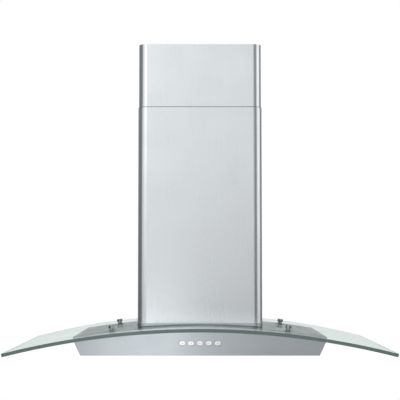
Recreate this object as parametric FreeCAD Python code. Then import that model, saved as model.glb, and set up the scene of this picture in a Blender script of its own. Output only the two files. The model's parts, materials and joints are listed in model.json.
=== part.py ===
import FreeCAD, Part
import math
import os

# Island range hood, millimetres, +Z up.
# Origin: centre of the ceiling plate's top face.  Front: -Y.  Right, seen from the front: +X.

# ---------------------------------------------------------------- driving dimensions
GLASS_W = 914.0            # glass canopy across its top face
GLASS_D = 600.0
GLASS_T = 8.0
GLASS_R = 1855.0           # bend radius of the glass's top face
GLASS_TOP = -695.0         # top of the glass at the middle
GLASS_CORNER_R = 6.0

CHIMNEY_W = 308.0          # lower chimney cover, outside
CHIMNEY_D = 250.0
CHIMNEY_R = 22.0
SHEET = 1.0
COVER_GAP = 0.5            # between the lower cover's inside and the upper cover's outside
SEAM_Z = -158.0            # top edge of the lower cover
UPPER_LENGTH = 500.0
HALF_JOINT = 0.2           # gap between the front and rear halves of a cover

PLATE_T = 3.0
PLATE_GAP = 0.3
PLATE_SKIRT = 15.0
DUCT_HOLE_R = 90.0
CEILING_SPAN_X = 220.0     # ceiling bolt pattern
CEILING_SPAN_Y = 165.0
CEILING_HOLE_R = 4.0

POST_LEG = 22.0
POST_T = 2.0
POST_X = 141.0             # outer faces of the upper posts
POST_Y = 113.0
POST_GAP = 0.5
UPPER_POST_END = -550.0
LOWER_POST_TOP = -150.0
SLOT_W = 7.0
SLOT_TOP = -60.0
SLOT_END = -532.0
SLOT_INSET = 12.0          # slot centre from the post's outer corner
CLAMP_BOLT_Z = (-190.0, -240.0)
BRACE_Z = -345.0
BRACE_H = 15.0

BODY_BOTTOM = GLASS_TOP - 71.0
BODY_HALF_BOTTOM = 287.0
BODY_SLOPE = 0.475         # outward lean of the ends, per unit of height
BODY_HALF_D = 185.0
BODY_FLANGE = 12.0
GASKET_T = 1.5
PAD_T = 1.3                # flat pads under the curved glass
PAD_EASE = 0.08
DECK_T = 1.2
GLASS_CUT_X = 143.0        # half sizes of the glass's cut-out
GLASS_CUT_Y = 115.0
AIR_CUT_X = 122.0
AIR_CUT_Y = 96.0
CAP_X = 215.5
CAP_Y = 137.0
CAP_R = 7.4
CAP_H = 11.5
CAP_NECK_R = 5.2
CAP_NECK_H = 4.5

BOX_X = 130.0
BOX_Y = 102.5
BOX_TOP = GLASS_TOP + 236.0
BOX_T = 1.2

VOLUTE_Y = -27.0           # first arc centre of the volute
VOLUTE_Z = GLASS_TOP + 116.0
VOLUTE_R = 72.0
VOLUTE_STEP = 7.0          # growth of the volute for each quarter turn
VOLUTE_HALF_W = 48.0
VOLUTE_WALL = 1.5
OUTLET_LEFT = -5.0         # from the first arc centre
INLET_R = 50.0

AXIS_Y = VOLUTE_Y + VOLUTE_STEP / 2
AXIS_Z = VOLUTE_Z + VOLUTE_STEP / 2
IMPELLER_R = 60.0
IMPELLER_BORE_R = 50.0
IMPELLER_HALF_W = 43.0
BLADES = 30
SHAFT_R = 4.0
SHAFT_FIT = 0.05
MOTOR_R = 38.0
MOTOR_FRONT = 9.0
MOTOR_BACK = 46.0
BRACKET_X = 50.0

COLLAR_R = 75.0
COLLAR_WALL = 2.0
COLLAR_LENGTH = 45.0
PLENUM_HALF = 79.0
PLENUM_H = 22.0
FLAP_AXIS_Y = 6.0
FLAP_Z = BOX_TOP + PLENUM_H + 9.0
FLAP_R = 71.0
FLAP_T = 1.5
FLAP_PIN_R = 1.8
FLAP_PIN_FIT = 0.1
LUG_IN = 68.0

PANEL_Z = BODY_BOTTOM + 7.0     # underside of the recessed bottom panel
PANEL_T = 1.0
PANEL_HALF_X = 272.5
PANEL_HALF_Y = 172.0
FILTER_IN = 6.0            # filter's edge nearest the middle
FILTER_W = 204.0
FILTER_HALF_D = 163.0
FILTER_T = 9.0
FILTER_GAP = 1.0
FILTER_RIM = 12.0
FILTER_FRONT_RIM = 24.0
HINGE_R = 1.5              # round rear edge that the filter swings about

LAMP_X = 241.0
LAMP_Y = 120.0
LAMP_BEZEL_R = 26.0
LAMP_CAN_R = 23.0
LAMP_LENS_R = 20.0
LAMP_TOP = PANEL_Z + 20.0

BUTTON_COUNT = 5
BUTTON_PITCH = 21.3
BUTTON_Z = BODY_BOTTOM + 29.0
BUTTON_W = 15.5
BUTTON_H = 10.0
BUTTON_PROUD = 2.0
BUTTON_FIT = 0.6
BUTTON_TRAVEL = 1.5
CARRIER_T = 8.0
SWITCH_H = 4.3
SWITCH_GAP = 0.3
BOARD_T = 1.6

BOARD_PLUG_X = 40.0
BOARD_PLUG_T = 7.0
BUTTON_FLANGE_T = 1.2

JBOX_X0 = 84.0
JBOX_X1 = 126.0
JBOX_HALF_Y = 55.0
JBOX_H = 34.0
GLAND_Y = 25.0
GLAND_BORE_R = 4.5
GLAND_R = 8.0
GLAND_H = 14.0

WIRE_R = 2.5
LAMP_WIRE_R = 1.8
LOOM_X = 138.0             # where the loom drops beside the blower box
LOOM_Y = -70.0
MOTOR_LEAD_X = 104.0
MOTOR_LEAD_Y = -24.0

POST_BOLT_R = 2.5
COVER_SHANK_R = 1.8
UPPER_SCREW_Y = 45.0
UPPER_SCREW_Z = -9.0
LOWER_SCREW_Y = 91.0
LOWER_SCREW_Z = GLASS_TOP + 10.0
FLAT_HEAD_R = 3.0

ARCH_Z = GLASS_TOP - GLASS_R
DECK_R = GLASS_R - GLASS_T - GASKET_T

V = FreeCAD.Vector
X = V(1, 0, 0)
Y = V(0, 1, 0)
Z = V(0, 0, 1)
SIDES = (-1, 1)
CORNERS = [(sx, sy) for sx in SIDES for sy in SIDES]
PANEL_SCREWS = [(sx * 278.5, sy * 90.0) for sx, sy in CORNERS]
PANEL_SCREWS += [(sx * 150.0, sy * 177.5) for sx, sy in CORNERS]

WALL_BACK = -BODY_HALF_D + SHEET
CARRIER_BACK = WALL_BACK + CARRIER_T
STEM_BACK = CARRIER_BACK + 0.1 + BUTTON_FLANGE_T
BOARD_FRONT = STEM_BACK + BUTTON_TRAVEL + SWITCH_GAP + SWITCH_H
PLUG_BACK = BOARD_FRONT + BOARD_T + BOARD_PLUG_T


# ---------------------------------------------------------------- shape helpers
def save(name, *solids):
    shape = solids[0] if len(solids) == 1 else Part.makeCompound(list(solids))
    shape.exportStep("parts/" + name + ".step")


def block(x0, x1, y0, y1, z0, z1):
    low = V(min(x0, x1), min(y0, y1), min(z0, z1))
    return Part.makeBox(abs(x1 - x0), abs(y1 - y0), abs(z1 - z0), low)


def rod(radius, start, axis, length):
    return Part.makeCylinder(radius, length, start, axis)


def fuse(*solids):
    return solids[0].multiFuse(list(solids[1:])).removeSplitter()


def cut(solid, *tools):
    return solid.cut(list(tools))


def face_of(edges):
    return Part.Face(Part.Wire(Part.__sortEdges__(edges)))


def rounded_plate(half_x, half_y, radius, z0, z1):
    """Upright prism with a rounded rectangular outline."""
    plate = block(-half_x, half_x, -half_y, half_y, z0, z1)
    uprights = [e for e in plate.Edges if abs(e.tangentAt(e.FirstParameter).z) > 0.9]
    return plate.makeFillet(radius, uprights)


def oval_bar(width, height, centre, length):
    """Bar along +Y from centre, with half-round ends left and right."""
    radius = height / 2
    reach = width / 2 - radius
    bar = block(centre.x - reach, centre.x + reach, centre.y, centre.y + length,
                centre.z - radius, centre.z + radius)
    ends = [rod(radius, V(centre.x + s * reach, centre.y, centre.z), Y, length) for s in SIDES]
    return fuse(bar, *ends)


def arch_drum(radius):
    """Solid cylinder under the arch, its axis along Y."""
    return rod(radius, V(0, -GLASS_D, ARCH_Z), Y, 2 * GLASS_D)


def arch_slab(top_radius, thickness, half_width, half_depth):
    """Plate bent along the arch, its ends square to its faces."""
    angle = math.asin(half_width / top_radius)

    def at(radius, turn):
        return V(radius * math.sin(turn), -half_depth, ARCH_Z + radius * math.cos(turn))

    low_radius = top_radius - thickness
    top = Part.Arc(at(top_radius, -angle), at(top_radius, 0), at(top_radius, angle)).toShape()
    low = Part.Arc(at(low_radius, -angle), at(low_radius, 0), at(low_radius, angle)).toShape()
    left = Part.makeLine(at(top_radius, -angle), at(low_radius, -angle))
    right = Part.makeLine(at(top_radius, angle), at(low_radius, angle))
    return face_of([top, right, low, left]).extrude(V(0, 2 * half_depth, 0))


def on_arch(shape, x):
    """Swing a shape built on the arch's middle line out to x along the arch."""
    turned = shape.copy()
    turned.rotate(V(0, 0, ARCH_Z), Y, math.degrees(math.asin(x / GLASS_R)))
    return turned


def cable(points, radius=WIRE_R):
    """Round cable along straight runs joined by the largest tangent arcs."""
    edges = []
    last = points[0]
    for before, corner, after in zip(points, points[1:], points[2:]):
        back = (before - corner)
        ahead = (after - corner)
        trim = 0.45 * min(back.Length, ahead.Length)
        back.normalize()
        ahead.normalize()
        half_gap = back.getAngle(ahead) / 2
        start = corner + back * trim
        end = corner + ahead * trim
        bend = trim * math.tan(half_gap)
        centre = corner + (back + ahead).normalize() * (trim / math.cos(half_gap))
        middle = centre + (corner - centre).normalize() * bend
        edges.append(Part.makeLine(last, start))
        edges.append(Part.Arc(start, middle, end).toShape())
        last = end
    edges.append(Part.makeLine(last, points[-1]))
    first_run = (points[1] - points[0]).normalize()
    profile = Part.Wire(Part.makeCircle(radius, points[0], first_run))
    return Part.Wire(edges).makePipeShell([profile], True, True)


def cover_tube(half_x, half_y, radius, z0, z1):
    outer = rounded_plate(half_x, half_y, radius, z0, z1)
    inner = rounded_plate(half_x - SHEET, half_y - SHEET, radius - SHEET, z0 - 1, z1 + 1)
    return cut(outer, inner)


def cover_half(tube, side):
    """Front (-1) or rear (+1) half of a cover."""
    far = 2 * CHIMNEY_D
    keep = block(-CHIMNEY_W, CHIMNEY_W, side * HALF_JOINT / 2, side * far, BODY_BOTTOM, 0)
    return tube.common(keep)


def screw(head_at, out, head_r, head_h, shank_r, length):
    """Screw whose head stands out along `out` from head_at, shank the other way."""
    head = rod(head_r, head_at, out, head_h)
    socket = Part.makeCone(head_r * 0.45, head_r * 0.5, head_h * 0.45,
                           head_at + out * head_h * 0.55, out)
    shank = rod(shank_r, head_at, out * -1, length)
    return fuse(head, shank).cut(socket)


# ---------------------------------------------------------------- ceiling section
def ceiling_plate():
    half_x = CHIMNEY_W / 2 - 2 * SHEET - COVER_GAP - PLATE_GAP
    half_y = CHIMNEY_D / 2 - 2 * SHEET - COVER_GAP - PLATE_GAP
    radius = CHIMNEY_R - 2 * SHEET - COVER_GAP - PLATE_GAP
    pan = rounded_plate(half_x, half_y, radius, -PLATE_SKIRT, 0)
    hollow = rounded_plate(half_x - POST_T, half_y - POST_T, radius - POST_T,
                           -PLATE_SKIRT - 1, -PLATE_T)
    holes = [rod(DUCT_HOLE_R, V(0, 0, -PLATE_T - 1), Z, PLATE_T + 2)]
    for sx, sy in CORNERS:
        bolt_at = V(sx * CEILING_SPAN_X / 2, sy * CEILING_SPAN_Y / 2, -PLATE_T - 1)
        holes.append(rod(CEILING_HOLE_R, bolt_at, Z, PLATE_T + 2))
        holes.append(rod(POST_BOLT_R, post_bolt_at(sx, sy), Z, PLATE_T + 6))
        side_at = V(sx * (half_x - POST_T - 1), sy * UPPER_SCREW_Y, UPPER_SCREW_Z)
        holes.append(rod(COVER_SHANK_R, side_at, X * sx, POST_T + 2))
    return cut(pan, hollow, *holes)


def post_bolt_at(sx, sy):
    inset = POST_LEG / 2 + POST_T / 2
    return V(sx * (POST_X - inset), sy * (POST_Y - inset), -PLATE_T - 4)


def angle_post(sx, sy, outer_x, outer_y, leg, z0, z1):
    x0 = sx * outer_x
    y0 = sy * outer_y
    side_leg = block(x0, x0 - sx * POST_T, y0, y0 - sy * leg, z0, z1)
    face_leg = block(x0, x0 - sx * leg, y0, y0 - sy * POST_T, z0, z1)
    return fuse(side_leg, face_leg)


def upper_post(sx, sy):
    post = angle_post(sx, sy, POST_X, POST_Y, POST_LEG, UPPER_POST_END, -PLATE_T)
    foot = block(sx * POST_X, sx * (POST_X - POST_LEG), sy * POST_Y, sy * (POST_Y - POST_LEG),
                 -PLATE_T - POST_T, -PLATE_T)
    slot_y = sy * (POST_Y - SLOT_INSET)
    slot = block(sx * (POST_X - POST_T - 1), sx * (POST_X + 1), slot_y - SLOT_W / 2,
                 slot_y + SLOT_W / 2, SLOT_END, SLOT_TOP)
    bolt_hole = rod(POST_BOLT_R, post_bolt_at(sx, sy), Z, POST_T + 4)
    return cut(fuse(post, foot), slot, bolt_hole)


def ceiling_section():
    save("ceiling_plate", ceiling_plate())
    save("upper_posts", *[upper_post(sx, sy) for sx, sy in CORNERS])
    bolts = []
    for sx, sy in CORNERS:
        head_at = post_bolt_at(sx, sy) + Z * (4 - POST_T)
        bolts.append(screw(head_at, Z * -1, 4.5, 3, POST_BOLT_R, POST_T + PLATE_T - 0.5))
    save("upper_post_bolts", *bolts)

    half_x = CHIMNEY_W / 2 - SHEET - COVER_GAP
    half_y = CHIMNEY_D / 2 - SHEET - COVER_GAP
    tube = cover_tube(half_x, half_y, CHIMNEY_R - SHEET - COVER_GAP, -UPPER_LENGTH, 0)
    screws = []
    for sx, sy in CORNERS:
        start = V(sx * (half_x - SHEET - 1), sy * UPPER_SCREW_Y, UPPER_SCREW_Z)
        tube = cut(tube, rod(COVER_SHANK_R, start, X * sx, SHEET + 2))
        head_at = V(sx * half_x, sy * UPPER_SCREW_Y, UPPER_SCREW_Z)
        screws.append(screw(head_at, X * sx, 3.5, 1.2, COVER_SHANK_R, 6))
    save("upper_chimney_front", cover_half(tube, -1))
    save("upper_chimney_rear", cover_half(tube, 1))
    save("upper_chimney_screws", *screws)


# ---------------------------------------------------------------- telescopic frame and covers
def lower_frame():
    outer_x = POST_X - POST_T - POST_GAP
    outer_y = POST_Y - POST_T - POST_GAP
    deck = arch_drum(DECK_R)
    bolt_r = SLOT_W / 2 - 0.5
    posts = []
    bolts = []
    brackets = []
    for sx, sy in CORNERS:
        post = angle_post(sx, sy, outer_x, outer_y, POST_LEG - 2, GLASS_TOP - 30, LOWER_POST_TOP)
        for z in CLAMP_BOLT_Z:
            bolt_y = sy * (POST_Y - SLOT_INSET)
            post = cut(post, rod(bolt_r, V(sx * (outer_x - POST_T - 1), bolt_y, z), X * sx, 6))
            head_at = V(sx * (POST_X + 0.4), bolt_y, z)
            bolts.append(screw(head_at, X * sx, 5, 4, bolt_r, POST_X + 0.4 - outer_x + POST_T + 5))
        posts.append(cut(post, deck))
        bracket = block(sx * outer_x, sx * (CHIMNEY_W / 2 - SHEET), sy * (LOWER_SCREW_Y - 8),
                        sy * (LOWER_SCREW_Y + 8), LOWER_SCREW_Z - 6, LOWER_SCREW_Z + 6)
        hollow = block(sx * (outer_x + POST_T), sx * (CHIMNEY_W / 2 - SHEET - POST_T),
                       sy * (LOWER_SCREW_Y - 9), sy * (LOWER_SCREW_Y + 9),
                       LOWER_SCREW_Z - 7, LOWER_SCREW_Z + 6 - POST_T)
        hole = rod(COVER_SHANK_R, V(sx * (outer_x + POST_T), sy * LOWER_SCREW_Y, LOWER_SCREW_Z),
                   X * sx, CHIMNEY_W)
        brackets.append(cut(bracket, hollow, hole))
    save("lower_posts", *posts)
    save("frame_clamp_bolts", *bolts)
    save("chimney_brackets", *brackets)

    ring_x = outer_x - POST_T
    ring_y = outer_y - POST_T
    ring = block(-ring_x, ring_x, -ring_y, ring_y, BRACE_Z, BRACE_Z + BRACE_H)
    hollow = block(-ring_x + POST_T, ring_x - POST_T, -ring_y + POST_T, ring_y - POST_T,
                   BRACE_Z - 1, BRACE_Z + BRACE_H + 1)
    save("frame_brace", cut(ring, hollow))


def lower_chimney():
    tube = cover_tube(CHIMNEY_W / 2, CHIMNEY_D / 2, CHIMNEY_R, GLASS_TOP - 20, SEAM_Z)
    tube = cut(tube, arch_drum(GLASS_R + 0.2))
    screws = []
    for sx, sy in CORNERS:
        inside = V(sx * (CHIMNEY_W / 2 - SHEET - 1), sy * LOWER_SCREW_Y, LOWER_SCREW_Z)
        tube = cut(tube, rod(COVER_SHANK_R, inside, X * sx, SHEET + 2))
        head_at = V(sx * CHIMNEY_W / 2, sy * LOWER_SCREW_Y, LOWER_SCREW_Z)
        screws.append(screw(head_at, X * sx, 3.5, 1.2, COVER_SHANK_R, 6))
    save("lower_chimney_front", cover_half(tube, -1))
    save("lower_chimney_rear", cover_half(tube, 1))
    save("lower_chimney_screws", *screws)


# ---------------------------------------------------------------- glass canopy
def glass():
    sheet = arch_slab(GLASS_R, GLASS_T, GLASS_W / 2, GLASS_D / 2)
    corner_edges = []
    for edge in sheet.Edges:
        at_end = abs(abs(edge.CenterOfMass.y) - GLASS_D / 2) < 1
        if at_end and edge.Length < GLASS_T + 1:
            corner_edges.append(edge)
    sheet = sheet.makeFillet(GLASS_CORNER_R, corner_edges)
    opening = rounded_plate(GLASS_CUT_X, GLASS_CUT_Y, 12, GLASS_TOP - 60, GLASS_TOP + 10)
    ring_out = rounded_plate(GLASS_CUT_X + 8, GLASS_CUT_Y + 8, 18, GLASS_TOP - 60, GLASS_TOP + 10)
    ring_in = rounded_plate(GLASS_CUT_X + 0.5, GLASS_CUT_Y + 0.5, 12, GLASS_TOP - 60, GLASS_TOP + 10)
    gasket_band = arch_slab(GLASS_R - GLASS_T, GASKET_T, GLASS_W / 2, GLASS_D / 2)
    gasket = gasket_band.common(ring_out.cut(ring_in))

    hole_r = 5.5
    holes = []
    caps = []
    washers = []
    pads = []
    nuts = []
    for sx, sy in CORNERS:
        foot = V(0, sy * CAP_Y, GLASS_TOP)
        holes.append(on_arch(rod(hole_r, foot - Z * 12, Z, 20), sx * CAP_X))
        cap = rod(CAP_R, foot + Z * CAP_NECK_H, Z, CAP_H - CAP_NECK_H)
        neck = rod(CAP_NECK_R, foot + Z * 1, Z, CAP_NECK_H)
        rims = [e for e in cap.Edges if e.CenterOfMass.z > foot.z + CAP_H - 0.5 and e.Length > 20]
        cap = cap.makeFillet(2.2, rims)
        stud = rod(4, foot - Z * 16, Z, 18)
        caps.append(on_arch(fuse(cap, neck, stud), sx * CAP_X))
        ring = rod(CAP_NECK_R + 1, foot, Z, 1).cut(rod(4.2, foot - Z, Z, 3))
        washers.append(on_arch(ring, sx * CAP_X))
        pad_top = foot - Z * (GLASS_T + PAD_EASE)
        pad = rod(13, pad_top - Z * PAD_T, Z, PAD_T).cut(rod(4.2, pad_top - Z * 5, Z, 8))
        pads.append(on_arch(pad, sx * CAP_X))
        nut_top = foot - Z * (GLASS_T + GASKET_T + DECK_T + PAD_EASE)
        nut = rod(7, nut_top - Z * 5, Z, 5).cut(rod(4, nut_top - Z * 8, Z, 10))
        nuts.append(on_arch(nut, sx * CAP_X))
    save("glass_canopy", cut(sheet, opening, *holes))
    save("glass_gasket", gasket)
    save("glass_cap_screws", *caps)
    save("glass_washers", *washers, *pads)
    save("glass_nuts", *nuts)


# ---------------------------------------------------------------- hood body
def body_prism(inset, low_z):
    """Trapezoid block of the body's outline, drawn in by `inset` on its four sides."""
    lean = inset * math.sqrt(1 + BODY_SLOPE ** 2)
    high_z = GLASS_TOP
    low_x = BODY_HALF_BOTTOM + BODY_SLOPE * (low_z - BODY_BOTTOM) - lean
    high_x = BODY_HALF_BOTTOM + BODY_SLOPE * (high_z - BODY_BOTTOM) - lean
    half_y = BODY_HALF_D - inset
    outline = Part.makePolygon([V(-low_x, -half_y, low_z), V(low_x, -half_y, low_z),
                                V(high_x, -half_y, high_z), V(-high_x, -half_y, high_z),
                                V(-low_x, -half_y, low_z)])
    return Part.Face(outline).extrude(V(0, 2 * half_y, 0))


def button_centre(index):
    return V((index - (BUTTON_COUNT - 1) / 2) * BUTTON_PITCH, -BODY_HALF_D, BUTTON_Z)


def body():
    shell = body_prism(0, BODY_BOTTOM).common(arch_drum(DECK_R - DECK_T))
    hollow = body_prism(SHEET, BODY_BOTTOM + SHEET)
    flange_hole = block(-BODY_HALF_BOTTOM + SHEET + BODY_FLANGE, BODY_HALF_BOTTOM - SHEET - BODY_FLANGE,
                        -BODY_HALF_D + SHEET + BODY_FLANGE, BODY_HALF_D - SHEET - BODY_FLANGE,
                        BODY_BOTTOM - 1, BODY_BOTTOM + SHEET + 1)
    holes = []
    for index in range(BUTTON_COUNT):
        centre = button_centre(index) - Y
        holes.append(oval_bar(BUTTON_W + 2 * BUTTON_FIT, BUTTON_H + 2 * BUTTON_FIT, centre, SHEET + 2))
    for x, y in PANEL_SCREWS:
        holes.append(rod(FLAT_HEAD_R + 0.1, V(x, y, BODY_BOTTOM - 1), Z, SHEET + 2))
    save("body_shell", cut(shell, hollow, flange_hole, *holes))

    deck = arch_slab(DECK_R, DECK_T, GLASS_W / 2, BODY_HALF_D).common(body_prism(0, BODY_BOTTOM))
    air_cut = rounded_plate(AIR_CUT_X, AIR_CUT_Y, 15, GLASS_TOP - 60, GLASS_TOP)
    stud_holes = []
    for sx, sy in CORNERS:
        stud_holes.append(on_arch(rod(4.3, V(0, sy * CAP_Y, GLASS_TOP - 20), Z, 20), sx * CAP_X))
    loom_hole = rod(WIRE_R + 1.5, V(LOOM_X, LOOM_Y, GLASS_TOP - 60), Z, 60)
    save("body_top_plate", cut(deck, air_cut, loom_hole, *stud_holes))


# ---------------------------------------------------------------- underside
def lamp_centres():
    return [V(sx * LAMP_X, sy * LAMP_Y, PANEL_Z) for sx, sy in CORNERS]


def bottom_panel():
    flange_top = BODY_BOTTOM + 2 * SHEET
    outer = block(-BODY_HALF_BOTTOM + SHEET + 0.5, BODY_HALF_BOTTOM - SHEET - 0.5,
                  -BODY_HALF_D + SHEET + 0.5, BODY_HALF_D - SHEET - 0.5,
                  BODY_BOTTOM + SHEET, flange_top)
    walls = block(-PANEL_HALF_X, PANEL_HALF_X, -PANEL_HALF_Y, PANEL_HALF_Y,
                  BODY_BOTTOM + SHEET, PANEL_Z + PANEL_T)
    recess = block(-PANEL_HALF_X + PANEL_T, PANEL_HALF_X - PANEL_T,
                   -PANEL_HALF_Y + PANEL_T, PANEL_HALF_Y - PANEL_T, BODY_BOTTOM, PANEL_Z)
    holes = []
    for side in SIDES:
        holes.append(block(side * (FILTER_IN - FILTER_GAP), side * (FILTER_IN + FILTER_W + FILTER_GAP),
                           -FILTER_HALF_D - FILTER_GAP, FILTER_HALF_D + FILTER_GAP,
                           PANEL_Z - 1, PANEL_Z + PANEL_T + 1))
    for centre in lamp_centres():
        holes.append(rod(LAMP_CAN_R + 0.3, centre - Z, Z, PANEL_T + 2))
    for x, y in PANEL_SCREWS:
        holes.append(rod(COVER_SHANK_R, V(x, y, BODY_BOTTOM), Z, 8))
    save("bottom_panel", cut(fuse(outer, walls), recess, *holes))

    screws = []
    for x, y in PANEL_SCREWS:
        head = rod(FLAT_HEAD_R, V(x, y, BODY_BOTTOM), Z, SHEET)
        socket = rod(1.2, V(x, y, BODY_BOTTOM), Z, 0.6)
        shank = rod(COVER_SHANK_R, V(x, y, BODY_BOTTOM), Z, 8)
        screws.append(fuse(head, shank).cut(socket))
    save("bottom_panel_screws", *screws)


def lamps():
    boards = []
    for number, centre in enumerate(lamp_centres(), 1):
        bezel = rod(LAMP_BEZEL_R, centre - Z * 1.5, Z, 1.5)
        can = rod(LAMP_CAN_R, centre - Z * 1.5, Z, LAMP_TOP - PANEL_Z + 1.5)
        bore = rod(LAMP_LENS_R + 0.1, centre - Z * 3, Z, LAMP_TOP - PANEL_Z + 1)
        step = rod(LAMP_LENS_R + 1.5, centre + Z * 1.5, Z, 1.5)
        lead_hole = rod(WIRE_R + 0.3, V(centre.x, centre.y, LAMP_TOP - 5), Z, 10)
        save("lamp_housing_%d" % number, cut(fuse(bezel, can), bore, step, lead_hole))
        dome = rod(LAMP_LENS_R, centre - Z * 1, Z, 2.5)
        lip = rod(LAMP_LENS_R + 1.2, centre + Z * 1.6, Z, 1.2)
        save("lamp_lens_%d" % number, fuse(dome, lip, rod(LAMP_LENS_R, centre, Z, 2)))
        board = rod(16, V(centre.x, centre.y, LAMP_TOP - 6), Z, BOARD_T)
        chip = rod(6, V(centre.x, centre.y, LAMP_TOP - 7.2), Z, 1.2)
        boards.append(fuse(board, chip))
    save("lamp_led_boards", *boards)


def grease_filter(side, name):
    x0 = side * FILTER_IN
    x1 = side * (FILTER_IN + FILTER_W)
    middle = (x0 + x1) / 2
    front = -FILTER_HALF_D
    top = PANEL_Z + FILTER_T
    frame = block(x0, x1, front, FILTER_HALF_D, PANEL_Z, top)
    window = block(x0 + side * FILTER_RIM, x1 - side * FILTER_RIM, front + FILTER_FRONT_RIM,
                   FILTER_HALF_D - FILTER_RIM, PANEL_Z - 1, top + 1)
    channel = block(x0 + side * (FILTER_RIM - 3), x1 - side * (FILTER_RIM - 3),
                    front + FILTER_FRONT_RIM - 3, FILTER_HALF_D - FILTER_RIM + 3,
                    PANEL_Z + 1, top - 1)
    pocket = block(middle - 20.5, middle + 20.5, front - 1, front + 19, PANEL_Z - 1, PANEL_Z + 3.5)
    tabs = []
    for offset in (-60, 60):
        tabs.append(block(middle + offset - 8, middle + offset + 8, FILTER_HALF_D - 4,
                          FILTER_HALF_D + 8, PANEL_Z + 1.6, PANEL_Z + 3.6))
    edge = [e for e in frame.Edges if abs(e.CenterOfMass.y - FILTER_HALF_D) < 0.01
            and abs(e.CenterOfMass.z - PANEL_Z) < 0.01]
    frame = frame.makeFillet(HINGE_R, edge)
    save("filter_frame_" + name, fuse(cut(frame, window, channel, pocket), *tabs))

    core = block(x0 + side * (FILTER_RIM - 2.9), x1 - side * (FILTER_RIM - 2.9),
                 front + FILTER_FRONT_RIM - 2.9, FILTER_HALF_D - FILTER_RIM + 2.9,
                 PANEL_Z + 1.1, top - 1.1)
    save("filter_mesh_" + name, core)

    plate = block(middle - 20, middle + 20, front, front + 12, PANEL_Z + 0.3, PANEL_Z + 3.2)
    tongue = block(middle - 12, middle + 12, front - 5, front + 1, PANEL_Z + 1.3, PANEL_Z + 3.2)
    pull = block(middle - 11, middle + 11, front + 5, front + 7.5, PANEL_Z - 5.5, PANEL_Z + 1)
    save("filter_latch_" + name, fuse(plate, tongue, pull))


# ---------------------------------------------------------------- controls
def controls():
    half_x = BUTTON_PITCH * BUTTON_COUNT / 2 + 8
    carrier = block(-half_x, half_x, WALL_BACK, CARRIER_BACK, BUTTON_Z - 9, BUTTON_Z + 9)
    holes = []
    switches = []
    for index in range(BUTTON_COUNT):
        centre = button_centre(index)
        start = V(centre.x, WALL_BACK - 1, centre.z)
        holes.append(oval_bar(BUTTON_W + 2 * BUTTON_FIT, BUTTON_H + 2 * BUTTON_FIT, start, CARRIER_T + 2))
        cap_front = V(centre.x, centre.y - BUTTON_PROUD, centre.z)
        stem = oval_bar(BUTTON_W, BUTTON_H, cap_front, STEM_BACK - cap_front.y)
        collar_at = V(centre.x, STEM_BACK - BUTTON_FLANGE_T, centre.z)
        collar = oval_bar(BUTTON_W + 3, BUTTON_H + 3, collar_at, BUTTON_FLANGE_T)
        rim = [e for e in stem.Edges if abs(e.CenterOfMass.y - cap_front.y) < 0.01]
        save("button_%d" % (index + 1), fuse(stem.makeFillet(0.8, rim), collar))
        case = block(centre.x - 3, centre.x + 3, BOARD_FRONT - SWITCH_H + 1, BOARD_FRONT,
                     centre.z - 3, centre.z + 3)
        plunger = rod(1.7, V(centre.x, BOARD_FRONT - SWITCH_H, centre.z), Y, 2)
        switches.append(fuse(case, plunger))
    ears = []
    for side in SIDES:
        ears.append(block(side * half_x, side * (half_x - 5), CARRIER_BACK, BOARD_FRONT,
                          BUTTON_Z - 9, BUTTON_Z + 9))
    save("button_carrier", cut(fuse(carrier, *ears), *holes))
    save("tact_switches", *switches)
    board = block(-half_x, half_x, BOARD_FRONT, BOARD_FRONT + BOARD_T, BUTTON_Z - 10, BUTTON_Z + 10)
    socket = block(BOARD_PLUG_X - 6, BOARD_PLUG_X + 6, BOARD_FRONT + BOARD_T, PLUG_BACK,
                   BUTTON_Z - 4, BUTTON_Z + 4)
    save("control_board", fuse(board, socket))


# ---------------------------------------------------------------- blower
def volute_prism(grow, x0, x1, top_z):
    """Snail-shell prism: three quarter arcs that grow, then a straight outlet upwards."""
    r1 = VOLUTE_R + grow
    r2 = r1 + VOLUTE_STEP
    r3 = r2 + VOLUTE_STEP
    shifted = VOLUTE_Y + VOLUTE_STEP
    lifted = VOLUTE_Z + VOLUTE_STEP
    left_wall = VOLUTE_Y + OUTLET_LEFT - grow
    joint_turn = math.acos((left_wall - VOLUTE_Y) / r1)

    def on(cy, cz, radius, degrees):
        turn = math.radians(degrees)
        return V(x0, cy + radius * math.cos(turn), cz + radius * math.sin(turn))

    start_deg = math.degrees(joint_turn)
    tongue = on(VOLUTE_Y, VOLUTE_Z, r1, start_deg)
    left = on(VOLUTE_Y, VOLUTE_Z, r1, 180)
    bottom = on(shifted, VOLUTE_Z, r2, 270)
    right = on(shifted, lifted, r3, 360)
    right_top = V(x0, right.y, top_z)
    left_top = V(x0, left_wall, top_z)
    edges = [
        Part.Arc(tongue, on(VOLUTE_Y, VOLUTE_Z, r1, (start_deg + 180) / 2), left).toShape(),
        Part.Arc(left, on(shifted, VOLUTE_Z, r2, 225), bottom).toShape(),
        Part.Arc(bottom, on(shifted, lifted, r3, 315), right).toShape(),
        Part.makeLine(right, right_top),
        Part.makeLine(right_top, left_top),
        Part.makeLine(left_top, tongue),
    ]
    return face_of(edges).extrude(V(x1 - x0, 0, 0))


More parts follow.
